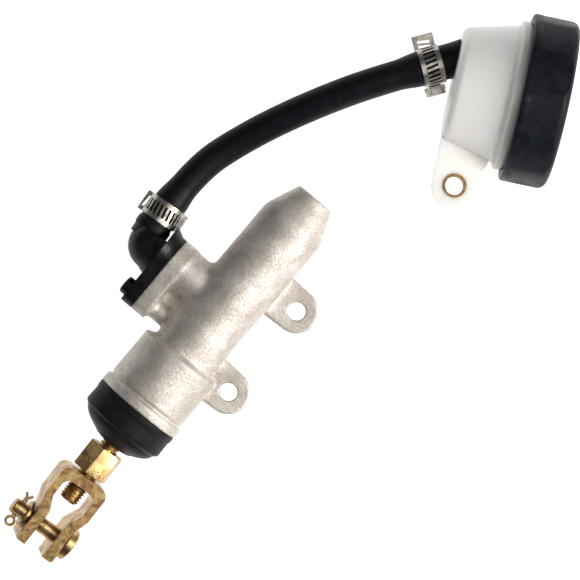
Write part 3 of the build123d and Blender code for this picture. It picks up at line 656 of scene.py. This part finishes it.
CAST = CastMetal("sand_cast_alloy", "cast_aluminium")
ELBOW_PLASTIC = Moulded("elbow_plastic", "black_plastic", shine=0.38, coat=0.1)
BOOT_RUBBER = Moulded("boot_rubber", "black_rubber", dark=(0.004, 0.004, 0.005), light=(0.013, 0.013, 0.014),
                      shine=0.5, sheen=0.05)
CAP_PLASTIC = Moulded("cap_moulding", "cap_plastic", dark=(0.004, 0.005, 0.009), light=(0.009, 0.011, 0.018),
                      shine=0.42, pebble=0.6 * MM)
HOSE_RUBBER = HoseRubber("extruded_rubber", "hose_rubber")
ZINC = YellowZinc("yellow_zinc", "zinc_yellow")
STEEL = RolledSteel("turned_steel", "steel")
STAINLESS = RolledSteel("rolled_stainless", "stainless", shade=(0.20, 0.18, 0.155), bright=(0.64, 0.60, 0.54),
                        turn=(0.0, 0.0, 1.0))
BLACK_SCREW = RolledSteel("black_screw", "screw_steel", shade=(0.012, 0.012, 0.013),
                          bright=(0.06, 0.06, 0.062), shine=0.34)
BRONZE = RolledSteel("bush_bronze", "bronze", shade=(0.20, 0.10, 0.035), bright=(0.50, 0.32, 0.15), shine=0.4)
MILKY = Milky("milky_plastic", "white_plastic")


# ---- Sub-assemblies


def finished_copy(node: str, name: str, edge: float, finish: Finish, body: Body) -> Object:
    """A CAD node's shape with its sharp edges rounded over, dressed and riding on a body.

    The triangles of each flat face are joined into one face, then a bevel rounds every sharp edge.

    Args:
        node: The CAD node.
        name: The new piece's name.
        edge: The width of the rounding.
        finish: Its finish.
        body: The body that it rides on.

    Returns:
        The new piece.
    """
    piece = merged_copy(node, name)
    with editing(piece.data) as work:
        bmesh.ops.dissolve_limit(work, angle_limit=FLAT_ANGLE, verts=work.verts, edges=work.edges)
    piece.data.shade_smooth()
    piece.data.set_sharp_from_angle(angle=EDGE_ANGLE)
    bevel = piece.modifiers.new("edges", "BEVEL")
    bevel.width = edge
    bevel.segments = BEVEL_STEPS
    bevel.limit_method = "ANGLE"
    bevel.angle_limit = EDGE_ANGLE
    bevel.harden_normals = True
    finish.dress(piece)
    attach(piece, body.value)
    return piece


@dataclass
class Casting:
    """The cylinder's casting, with the soft inner corners that a sand mould leaves."""

    voxel: float = 0.5 * MM
    passes: int = 46
    barrel_top: float = 12.4 * MM  # nearest the bore's axis that the corners are filled
    lug_clear: float = 5.0 * MM  # left alone about each bolt hole
    inlet_clear: float = 6.8 * MM  # left alone about the inlet chamber
    inlet_y: float = 4.5 * MM
    screw_y: float = -13.5 * MM
    shoulder: float = -17.0 * MM
    nose: float = 50 * MM
    web_from: float = -44.0 * MM
    web_to: float = -33.0 * MM
    boss_r: float = 3.7 * MM
    web_thick: float = 5.0 * MM
    web_drop: float = 2.2 * MM  # the web's middle, below the bore's axis
    boss_columns: int = 48
    bolt_y: float = 20 * MM  # each bolt hole's distance from the middle
    flange_side: float = -33 * MM  # the inlet and the screw lie beyond this X
    screw_clear: float = 2.6 * MM
    step: float = 0.5  # of the way to the mean of the neighbours
    wear: float = 0.8  # of that step, where outer edges wear round
    wear_passes: int = 3

    def build(self) -> Object:
        """The CAD casting on an even mesh, with its inner corners filled.

        Returns:
            The casting, riding on the cylinder.
        """
        piece = merged_copy("cylinder_body", "casting")
        self.add_web(piece.data)
        remesh = piece.modifiers.new("even", "REMESH")
        remesh.mode = "VOXEL"
        remesh.voxel_size = self.voxel
        even = bpy.data.meshes.new_from_object(piece.evaluated_get(bpy.context.evaluated_depsgraph_get()))
        piece.modifiers.clear()
        piece.data = even
        self.fill_corners(even)
        even.shade_smooth()
        CAST.dress(piece)
        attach(piece, Body.CYLINDER.value)
        return piece

    def add_web(self, mesh: Mesh) -> None:
        """Add the screw's boss and the web behind the flange, which the remesh joins to the barrel."""
        middle = 0.5 * (self.web_from + self.web_to)
        height = BORE.origin[2]
        along_x = Matrix.Translation((middle, self.screw_y, height)) @ Matrix.Rotation(radians(90), 4, "Y")
        size = (self.web_to - self.web_from, self.inlet_y - self.screw_y, self.web_thick)
        place = (middle, 0.5 * (self.inlet_y + self.screw_y), height - self.web_drop)
        with editing(mesh) as work:
            bmesh.ops.create_cone(work, cap_ends=True, segments=self.boss_columns, radius1=self.boss_r,
                                  radius2=self.boss_r, depth=size[0], matrix=along_x)
            bmesh.ops.create_cube(work, size=1.0, matrix=Matrix.LocRotScale(place, None, size))

    def fill_corners(self, mesh: Mesh) -> None:
        """Ease the mesh in place.

        Each pass finds a step for every vertex, part of the way to the mean of its neighbours. Where
        the step goes outwards, at an inner corner of the raw casting, it is taken in full on every
        pass. Elsewhere most of it is taken on the first few passes, which wears outer edges round.

        Args:
            mesh: The even mesh.
        """
        count = len(mesh.vertices)
        points = read(mesh.vertices, "co", 3)
        one, two = read(mesh.edges, "vertices", 2, np.int32).T
        neighbours = np.bincount(one, minlength=count) + np.bincount(two, minlength=count)
        raw = self.raw_skin(points)
        for number in range(self.passes):
            total = np.stack([
                np.bincount(one, points[two, axis], count) + np.bincount(two, points[one, axis], count)
                for axis in range(3)
            ], axis=1)
            move = self.step * (total / neighbours[:, None] - points)
            mesh.vertices.foreach_set("co", points.ravel())
            mesh.update()
            outward = np.einsum("ij,ij->i", move, read(mesh.vertices, "normal", 3, np.float32)) > 0
            worn = self.wear if number < self.wear_passes else 0.0
            weight = np.where(outward & raw, 1.0, worn)
            points = points + move * weight[:, None]
        mesh.vertices.foreach_set("co", points.ravel())
        mesh.update()

    def raw_skin(self, points: np.ndarray) -> np.ndarray:
        """Which points lie on the raw casting, away from the bored and faced surfaces.

        Args:
            points: The mesh's points.

        Returns:
            One truth value for each point.
        """
        x, y, z = points.T
        off_bore = np.hypot(x - BORE.origin[0], z - BORE.origin[2])
        off_bolts = np.minimum(np.hypot(x, y - self.bolt_y), np.hypot(x, y + self.bolt_y))
        off_inlet = np.hypot(y - self.inlet_y, z - BORE.origin[2])
        off_screw = np.hypot(y - self.screw_y, z - BORE.origin[2])
        bored = (x < self.flange_side) & ((off_inlet < self.inlet_clear) | (off_screw < self.screw_clear))
        within = (y > self.shoulder) & (y < self.nose)
        return within & (off_bore > self.barrel_top) & (off_bolts > self.lug_clear) & ~bored


@dataclass
class Boot:
    """The rubber boot: a sleeve stretched over the casting's spigot and a lip that narrows inwards to the
    rod.
    """

    base: float = -46.1 * MM
    corner: float = -56.6 * MM
    mouth: float = -63.0 * MM
    sleeve_r: float = 17.45 * MM
    mouth_r: float = 5.8 * MM
    grip_r: float = 4.4 * MM
    wall: float = 1.7 * MM
    fold_anchor: float = -53.8 * MM
    fold_keep: float = 0.08
    sleeve_wall: float = 3.1 * MM
    waist: float = 0.35 * MM
    rounding: float = 0.7 * MM
    belly: float = 2.3 * MM
    belly_power: float = 0.9
    bead: float = 0.55 * MM
    bead_at: float = 0.93  # of the way to the mouth
    bead_width: float = 0.06
    rows: int = 40
    columns: int = 96

    def build(self) -> list[Object]:
        """The sleeve and the lip.

        Returns:
            Both pieces, riding on the cylinder.
        """
        pieces = [self.sleeve(), self.lip()]
        for piece in pieces:
            BOOT_RUBBER.dress(piece)
            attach(piece, Body.CYLINDER.value)
            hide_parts("boot")
        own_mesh(pieces[1])
        return pieces

    def sleeve(self) -> Object:
        """A turned ring: a rolled edge by the casting, a shallow waist, and a rounded end."""
        outer = self.sleeve_r
        inner = outer - self.sleeve_wall
        outline = soften([
            (self.corner + 0.2 * MM, inner - 2 * MM), (self.corner, outer - 1.6 * MM),
            (self.corner + 1.3 * MM, outer - 0.15 * MM), (self.base - 3.2 * MM, outer - self.waist),
            (self.base - 2.3 * MM, outer), (self.base, outer), (self.base, inner),
            (self.corner + 1.8 * MM, inner), (self.corner + 1.8 * MM, inner - 2 * MM),
        ], self.rounding)
        points = BORE.points(outline[:, :1], outline[:, 1:], round_angles(self.columns))
        return grid_piece("boot_sleeve", points, loop_rows=True)

    def lip(self) -> Object:
        """The cone from the sleeve to the rod.

        Its radius eases from the sleeve's to the mouth's with a belly, a bead stands round the
        mouth, and each ring's centre drifts sideways with the push rod's lean.
        """
        drift = ROD.along[0] / ROD.along[1]
        t = np.linspace(0, 1, self.rows)
        station = self.corner + 0.25 * MM + (self.mouth - self.corner) * t
        belly = self.belly * np.sin(np.pi * t) ** self.belly_power
        bead = self.bead * np.exp(-(((t - self.bead_at) / self.bead_width) ** 2))
        wide = self.sleeve_r - 1.7 * MM
        outer = wide + (self.mouth_r - wide) * t + belly + bead
        inner = np.maximum(outer - self.wall, self.grip_r)
        stations = np.concatenate([station, station[::-1] + 0.3 * MM])
        radii = np.concatenate([outer, inner[::-1]])[:, None]
        reach = np.concatenate([t, t[::-1]])
        shift = (drift * (stations - BALL[1]) * reach)[:, None, None] * np.array([1.0, 0.0, 0.0])
        points = BORE.points(stations[:, None], radii, round_angles(self.columns)) + shift
        return grid_piece("boot_lip", points[::-1], loop_rows=True)


@dataclass
class PushRod:
    """The push rod: a ball, a slim waist with a stop flange, and an M8 thread to its end."""

    ball_r: float = 4.6 * MM
    waist_r: float = 3.2 * MM
    flange_r: float = 6.0 * MM
    flange_near: float = -5.2 * MM
    flange_far: float = -7.4 * MM
    thread_start: float = -28.0 * MM
    end: float = -56.7 * MM
    thread_r: float = 3.98 * MM
    pitch: float = 1.25 * MM
    thread_depth: float = 0.72 * MM
    tip: float = 0.6 * MM  # the thread stops this far from the end
    fade: float = 0.5 * MM
    columns: int = 56
    ball_rows: int = 24
    turn_rows: int = 12  # in each turn of the thread

    def build(self) -> Object:
        """The rod on one grid, its thread a ridge that climbs one pitch in each turn.

        The radius is the outline's, less the thread's depth times how far the station plus the
        angle's share of a pitch is from the nearest whole pitch.

        Returns:
            The rod, riding on its body.
        """
        angle = round_angles(self.columns)
        neck = self.waist_r
        ball_angle = np.linspace(0, np.pi - np.arcsin(neck / self.ball_r), self.ball_rows)
        ball = np.stack([self.ball_r * np.cos(ball_angle), self.ball_r * np.sin(ball_angle)], axis=1)
        shank = soften([
            (ball[-1, 0], neck), (self.flange_near, neck), (self.flange_near, self.flange_r),
            (self.flange_far, self.flange_r), (self.flange_far, neck), (self.thread_start + 1 * MM, neck),
        ], 0.3 * MM)
        turns = (self.thread_start - self.end) / self.pitch
        station = np.linspace(self.thread_start, self.end + self.tip, int(turns * self.turn_rows))
        rim = np.array([[self.end, self.thread_r - 1.0 * MM], [self.end, 0.0]])
        thread = np.stack([station, np.full(len(station), self.thread_r)], axis=1)
        outline = np.vstack([ball, shank, thread, rim])
        phase = outline[:, :1] / self.pitch + angle / TURN
        groove = 2 * np.abs(phase - np.floor(phase) - 0.5)
        cut = smooth((self.thread_start - outline[:, :1]) / self.pitch)
        cut = cut * smooth((outline[:, :1] - self.end) / self.fade)
        radius = outline[:, 1:] - self.thread_depth * cut * smooth(groove)
        points = ROD.points(outline[:, :1], radius, angle)
        piece = grid_piece("threaded_rod", points[::-1])
        ZINC.dress(piece)
        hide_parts("push_rod")
        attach(piece, Body.PUSH_ROD.value)
        return piece


@dataclass
class ReturnSpring:
    """The piston's return spring, at the length of the CAD spring."""

    wire_r: float = 0.65 * MM
    coil_r: float = 4.4 * MM
    coils: float = 7.5
    flat_share: float = 0.07  # of the wire's turns, at each end, that don't climb
    even_share: float = 0.75  # of the climb that is even, the rest being eased
    steps: int = 420
    wire_columns: int = 12

    def build(self) -> Object:
        """A round wire carried along a helix whose first and last turns lie flat.

        Returns:
            The spring, held at the bore's blind end.
        """
        low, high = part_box("return_spring")
        start, end = low[1] + self.wire_r, high[1] - self.wire_r
        t = np.linspace(0, 1, self.steps)
        climb = np.clip((t - self.flat_share) / (1 - 2 * self.flat_share), 0, 1)
        rise = smooth(climb) * (1 - self.even_share) + climb * self.even_share
        angle = TURN * self.coils * t
        line = BORE.points(start + (end - start) * rise, np.full_like(t, self.coil_r), angle)
        _, outward = rings(line, BORE.along, self.wire_columns)
        piece = grid_piece("return_coil", capped(line[:, None] + self.wire_r * outward))
        STEEL.dress(piece)
        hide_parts("return_spring")
        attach(piece, Body.CYLINDER.value)
        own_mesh(piece)
        return piece


@dataclass
class Hose:
    """The feed hose, swollen over its two nipples and pressed against the tank's floor."""

    route: list[Vec] = field(default_factory=lambda: [
        (-0.0616, 0.0082, 0.0130),
        (-0.0641, 0.0341, 0.0130),
        (-0.0565, 0.0589, 0.0155),
        (-0.0449, 0.0833, 0.0235),
        (-0.0312, 0.1064, 0.0315),
        (-0.0172, 0.1264, 0.0315),
    ])
    diameter: float = 11.3 * MM
    length: float = 132 * MM
    bore_r: float = 3.15 * MM
    grip_r: float = 6.5 * MM  # under a clamp's band
    lip_r: float = 7.0 * MM  # at the open ends
    lower_band: float = 8.0 * MM  # the lower band's middle, from the start
    upper_band: float = 6.2 * MM  # the upper band's middle, from the end
    half_band: float = 4.3 * MM
    swell: float = 9.0 * MM  # how far the swelling runs past a band
    gap: float = 0.25 * MM  # between the end and the tank's floor
    seat: float = 0.8 * MM  # how far the start is pushed onto the elbow's collar
    seat_reach: float = 2 * MM  # how much of the start is pushed
    press_reach: float = 3 * MM  # how much of the end is cut to the floor's slope
    lip_gap: float = 1.6 * MM  # between a band's edge and the full lip
    lip_rise: float = 1.4 * MM
    round_depth: float = 0.5 * MM  # the rounding of each end's rim
    round_reach: float = 0.35 * MM
    bend_starts: float = 22 * MM  # from the start
    bend_ends: float = 18 * MM  # from the end
    curve_steps: int = 30
    rows: int = 300
    columns: int = 72

    def centreline(self) -> np.ndarray:
        """Points on the smooth curve that the route's points control."""
        curve = bpy.data.curves.new("hose_route", "CURVE")
        curve.dimensions = "3D"
        curve.resolution_u = self.curve_steps
        spline = curve.splines.new("NURBS")
        spline.points.add(len(self.route) - 1)
        spline.points.foreach_set("co", np.array([(*point, 1.0) for point in self.route]).ravel())
        spline.order_u = 3
        spline.use_endpoint_u = True
        holder = bpy.data.objects.new("hose_route", curve)
        mesh = bpy.data.meshes.new_from_object(holder)
        points = read(mesh.vertices, "co", 3)
        bpy.data.objects.remove(holder)
        bpy.data.curves.remove(curve)
        bpy.data.meshes.remove(mesh)
        return points

    def outer_radius(self, run: np.ndarray) -> np.ndarray:
        """The outside radius at each distance from the start.

        It is the hose's own radius in the middle, eases up to the grip over each nipple, and rises
        again to a lip between a band and an open end.

        Args:
            run: Distances along the hose.

        Returns:
            The radii.
        """
        total = run[-1]
        radius = np.full_like(run, self.diameter / 2)
        for band, away in ((self.lower_band, run), (self.upper_band, total - run)):
            grip = 1 - smooth((away - band - self.half_band) / self.swell)
            lip = 1 - smooth((away - band + self.half_band + self.lip_gap) / self.lip_rise)
            radius = radius + (self.grip_r - self.diameter / 2) * grip + (self.lip_r - self.grip_r) * lip
        ease = np.exp(-run / self.round_reach) + np.exp(-(total - run) / self.round_reach)
        return radius - self.round_depth * ease

    def build(self) -> Object:
        """The hose's wall, outside and inside, along its smooth centreline.

        A ring is its point of the centreline plus the radius times the outward directions. The first
        rings are pushed back onto the elbow, and the last ones along the hose to the tank's floor.

        Returns:
            The hose, bending between the cylinder and the reservoir.
        """
        line = self.centreline()
        run = np.concatenate([[0.0], np.cumsum(np.linalg.norm(np.diff(line, axis=0), axis=1))])
        even = np.linspace(0, run[-1], self.rows)
        line = np.stack([np.interp(even, run, line[:, axis]) for axis in range(3)], axis=1)
        tangent, ring = rings(line, (0.0, 0.0, 1.0), self.columns)
        outside = line[:, None] + self.outer_radius(even)[:, None, None] * ring
        inside = line[::-1][:, None] + self.bore_r * ring[::-1]
        points = np.concatenate([outside, inside])
        reach = np.concatenate([even, even[::-1]])
        seated = 1 - smooth(reach / self.seat_reach)
        points = points - (self.seat * seated)[:, None, None] * tangent[0]
        pressed = smooth((reach - even[-1] + self.press_reach) / self.press_reach)
        normal = unit(TANK_AXIS)
        depth = (points - np.asarray(TANK_FLOOR)) @ normal + self.gap
        along = tangent[-1]
        points = points - (pressed[:, None] * depth / (along @ normal))[..., None] * along
        piece = grid_piece("feed_hose", points, loop_rows=True)
        HOSE_RUBBER.dress(piece)
        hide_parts("hose")
        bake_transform(piece)
        return piece


@dataclass
class Reservoir:
    """The tank with its neck's thread, the bush, the diaphragm and plate, and the faceted cap."""

    neck_r: float = 26.98 * MM
    ridge: float = 0.36 * MM
    pitch: float = 4.0 * MM
    thread_from: float = 25.2 * MM
    thread_to: float = 34.2 * MM
    thread_root: float = 0.4 * MM  # how far the ridge's section reaches into the neck
    half_width: float = 0.85 * MM
    end_width: float = 0.3  # of the full width, where the ridge fades out
    fade: float = 0.06  # of the ridge's length, at each end
    turn_rows: int = 90  # in each turn of the thread
    columns: int = 14
    cap_edge: float = 0.35 * MM

    def neck_thread(self) -> Object:
        """A low rounded ridge that winds round the neck, fading out at both ends.

        Its section is an ellipse whose station and radius are carried round the tank's axis, climbing
        one pitch in each turn.

        Returns:
            The ridge, riding on the reservoir.
        """
        climb = self.thread_to - self.thread_from
        turns = climb / self.pitch
        t = np.linspace(0, 1, int(turns * self.turn_rows))[:, None]
        shown = smooth(t / self.fade) * smooth((1 - t) / self.fade)
        profile = round_angles(self.columns)
        width = self.half_width * (self.end_width + (1 - self.end_width) * shown)
        station = self.thread_from + climb * t + width * np.cos(profile)
        height = self.thread_root + self.ridge * shown
        radius = self.neck_r - self.thread_root + height * np.sin(profile)
        points = TANK.points(station, radius, TURN * turns * t)
        piece = grid_piece("neck_thread", capped(points))
        MILKY.dress(piece)
        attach(piece, Body.RESERVOIR.value)
        return piece

    def build(self) -> list[Object]:
        """The thread and the cap, with the other nodes dressed.

        Returns:
            The new pieces.
        """
        thread = self.neck_thread()
        cap = finished_copy("cap", "screw_cap", self.cap_edge, CAP_PLASTIC, Body.CAP)
        MILKY.dress_node("tank")
        MILKY.dress_node("cap_plate")
        BOOT_RUBBER.dress_node("diaphragm")
        BRONZE.dress_node("tab_bush")
        return [thread, cap]


@dataclass
class Fork:
    """The clevis with its lock nut, pin, washer and split pin, all in yellow zinc."""

    fork_edge: float = 0.55 * MM
    nut_edge: float = 0.22 * MM
    pin_edge: float = 0.2 * MM

    def build(self) -> list[Object]:
        """Each piece with its edges eased.

        Returns:
            The pieces, each riding on its own body.
        """
        plan = (
            ("clevis", "fork", self.fork_edge, ZINC, Body.CLEVIS),
            ("lock_nut", "rod_nut", self.nut_edge, ZINC, Body.PUSH_ROD),
            ("clevis_pin", "fork_pin", self.pin_edge, ZINC, Body.PIN),
            ("pin_washer", "fork_washer", self.pin_edge, ZINC, Body.PIN),
            ("split_pin", "cotter", self.pin_edge, ZINC, Body.PIN),
        )
        return [finished_copy(*row) for row in plan]


@dataclass
class Fittings:
    """The elbow, its seal and screw, the clamps, and the parts inside the bore."""

    elbow_edge: float = 0.4 * MM
    clamp_edge: float = 0.18 * MM
    dressed: dict[Finish, tuple[str, ...]] = field(default_factory=lambda: {
        BOOT_RUBBER: ("inlet_seal", "primary_cup", "secondary_cup"),
        STEEL: ("stop_washer", "circlip", "piston", "spring_seat"),
        STAINLESS: ("lower_clamp_band", "upper_clamp_band"),
    })

    def build(self) -> list[Object]:
        """The eased pieces, after the plain nodes are dressed.

        Returns:
            The new pieces.
        """
        for finish, nodes in self.dressed.items():
            for node in nodes:
                finish.dress_node(node)
        plan = (
            ("inlet_elbow", "elbow", self.elbow_edge, ELBOW_PLASTIC, Body.CYLINDER),
            ("elbow_screw", "flange_screw", self.clamp_edge, BLACK_SCREW, Body.CYLINDER),
            ("lower_clamp_housing", "lower_housing", self.clamp_edge, STAINLESS, Body.CYLINDER),
            ("lower_clamp_screw", "lower_worm", self.clamp_edge, STAINLESS, Body.LOWER_SCREW),
            ("upper_clamp_housing", "upper_housing", self.clamp_edge, STAINLESS, Body.RESERVOIR),
            ("upper_clamp_screw", "upper_worm", self.clamp_edge, STAINLESS, Body.UPPER_SCREW),
        )
        return [finished_copy(*row) for row in plan]


# ---- Floor, light and camera


@dataclass
class Studio:
    """A pale floor under soft light, seen from straight above."""

    view_x: float = -7.1 * MM
    view_y: float = 24.6 * MM
    height: float = 1000 * MM
    lens: float = 163.0
    turn: float = 40.2  # degrees from the view's up to the bore's axis
    sensor: float = 36.0
    far: float = 20.0  # how far the camera sees
    floor_half: float = 3.0
    floor_gap: float = 0.05 * MM
    floor_steps: int = 24
    fibre: float = 1.5 * MM
    paper: tuple[Colour, Colour] = ((0.36, 0.36, 0.36), (0.40, 0.40, 0.40))
    glow: float = 0.97
    surround: Colour = (0.93, 0.95, 1.0)
    surround_strength: float = 0.14

    def camera(self) -> None:
        """The camera, looking straight down."""
        data = bpy.data.cameras.new("camera")
        data.lens = self.lens
        data.sensor_width = self.sensor
        data.clip_end = self.far
        camera = placed("camera", data)
        camera.location = (self.view_x, self.view_y, self.height)
        camera.rotation_euler = (0.0, 0.0, radians(self.turn))
        bpy.context.scene.camera = camera

    def floor(self) -> None:
        """A flat pale sheet just under the object that glows a little, with a faint paper grain."""
        count = self.floor_steps
        side = np.linspace(-self.floor_half, self.floor_half, count)
        x, y = np.meshgrid(side, side)
        z = np.full_like(x, CAD_BOX[0][2] - self.floor_gap)
        number = np.arange(count * count).reshape(count, count)
        quads = np.stack([number[:-1, :-1], number[:-1, 1:], number[1:, 1:], number[1:, :-1]], -1)
        floor = new_piece("floor", np.stack([x, y, z], -1), quads.reshape(-1, 4).tolist())
        bench = Bench("pale_paper")
        fibres = bench.span(bench.noise(bench.place(), self.fibre, 3.0), 0.3, 0.7, 0, 1)
        bench.set(Base_Color=bench.mix(fibres, *self.paper), Roughness=0.95,
                  Emission_Color=(1.0, 1.0, 1.0), Emission_Strength=self.glow)
        floor.data.materials.append(bench.material)

    def lamp(self, name: str, place: Vec, size: float, power: float, tint: Colour) -> None:
        """A square soft box aimed at the middle of the object.

        Args:
            name: The lamp's name.
            place: Where it stands.
            size: Its side.
            power: Its power in watts.
            tint: Its colour.
        """
        data = bpy.data.lights.new(name, "AREA")
        data.size = size
        data.energy = power
        data.color = tint
        lamp = placed(name, data)
        aim = Vector((self.view_x, self.view_y, 0.0)) - Vector(place)
        lamp.location = place
        lamp.rotation_euler = aim.to_track_quat("-Z", "Y").to_euler()

    def light(self) -> None:
        """A key from the outlet and lugs' side, a wide overhead fill, and a low grey surround."""
        self.lamp("key", (0.88, 0.36, 0.72), 0.5, 15.0, (1.0, 0.975, 0.945))
        self.lamp("top", (0.45, 0.35, 1.5), 1.0, 6.0, (1.0, 0.98, 0.96))
        world = bpy.data.worlds.new("surround")
        world.use_nodes = True
        background = world.node_tree.nodes["Background"]
        background.inputs["Color"].default_value = (*self.surround, 1.0)
        background.inputs["Strength"].default_value = self.surround_strength
        scene = bpy.context.scene
        scene.world = world
        scene.view_settings.view_transform = "Standard"

    def build(self) -> None:
        """The camera, the floor and the lights."""
        self.camera()
        self.floor()
        self.light()


def main() -> None:
    """Build the studio, then each sub-assembly, and report its pieces."""
    logging.basicConfig(level=logging.INFO, format="%(name)s: %(message)s")
    Studio().build()
    builders: list[Callable[[], Object | list[Object]]] = [
        Hose().build, Casting().build, Boot().build, PushRod().build,
        ReturnSpring().build, Fork().build, Fittings().build, Reservoir().build,
    ]
    for build in builders:
        made = build()
        for piece in made if isinstance(made, list) else [made]:
            LOG.info("%s: %d faces", piece.name, len(piece.data.polygons))


if __name__ == "__main__":
    main()
